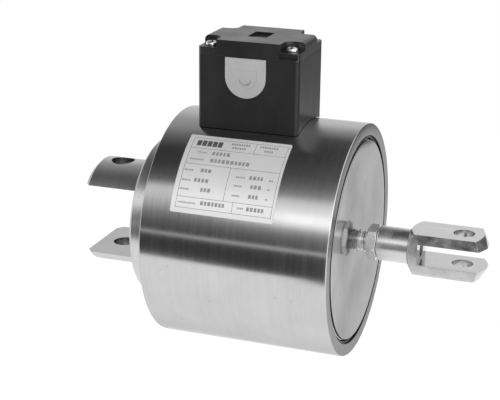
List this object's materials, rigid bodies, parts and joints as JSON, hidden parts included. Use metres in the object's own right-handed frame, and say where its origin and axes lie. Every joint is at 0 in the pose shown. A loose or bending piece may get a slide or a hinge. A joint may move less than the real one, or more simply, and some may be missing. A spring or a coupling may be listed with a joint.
{
  "type": "pull solenoid",
  "caption": "Round direct current pull solenoid: steel pot with a rear clevis, a sliding rod with a fork head and a terminal box on top.",
  "frame": {"origin": "middle of the flat floor between the two rear ears, on the main axis", "axes": "+X along the rod towards the fork head, +Z towards the terminal box"},
  "size_m": [0.2375, 0.135, 0.1823],
  "materials": {
    "turned_steel": "turned, bright",
    "plated_steel": "zinc plated, satin",
    "soft_iron": "machined, dull",
    "spring_steel": "blackened",
    "yellow_brass": "satin",
    "copper_wire": "enamelled",
    "black_plastic": "satin moulded",
    "grey_plastic": "matt moulded",
    "light_plastic": "matt moulded",
    "black_rubber": "matt",
    "paper_wrap": "matt",
    "plate_foil": "satin foil"
  },
  "bodies": {
    "housing": {"housing_shell": "turned_steel", "rear_clevis": "turned_steel", "front_cover": "turned_steel", "rear_screw_1": "plated_steel", "rear_screw_2": "plated_steel", "rear_screw_3": "plated_steel", "rear_screw_4": "plated_steel", "retaining_ring": "spring_steel", "cover_seal": "black_rubber", "front_bush": "yellow_brass", "flux_ring": "soft_iron", "guide_tube": "yellow_brass", "bobbin": "light_plastic", "winding": "copper_wire", "winding_wrap": "paper_wrap", "rating_plate": "plate_foil", "base_gasket": "black_rubber", "terminal_box": "black_plastic", "cable_entry_insert": "grey_plastic", "lid_gasket": "black_rubber", "box_lid": "black_plastic", "lid_screw_1": "plated_steel", "lid_screw_2": "plated_steel", "lid_screw_3": "plated_steel", "lid_screw_4": "plated_steel", "terminal_block": "light_plastic", "terminal_clamp_1": "yellow_brass", "terminal_clamp_2": "yellow_brass", "terminal_screw_1": "plated_steel", "terminal_screw_2": "plated_steel", "terminal_screw_3": "plated_steel", "terminal_screw_4": "plated_steel", "box_fixing_screw_1": "plated_steel", "box_fixing_screw_2": "plated_steel", "earth_screw": "plated_steel", "lead_grommet": "black_rubber", "lead_wire_1": "black_rubber", "lead_wire_2": "black_rubber"},
    "stick_disc": {"anti_stick_disc": "yellow_brass"},
    "plunger": {"armature": "soft_iron", "armature_rod": "plated_steel", "lock_nut": "plated_steel", "fork_head": "plated_steel"}
  },
  "joints": [
    {"name": "armature_stroke", "type": "slide", "parent": "housing", "child": "stick_disc", "axis": [1, 0, 0], "range_m": [0, 0.006]},
    {"name": "rod_turn", "type": "hinge", "parent": "stick_disc", "child": "plunger", "pos_m": [0.0378, 0, 0], "axis": [1, 0, 0], "continuous": true}
  ]
}
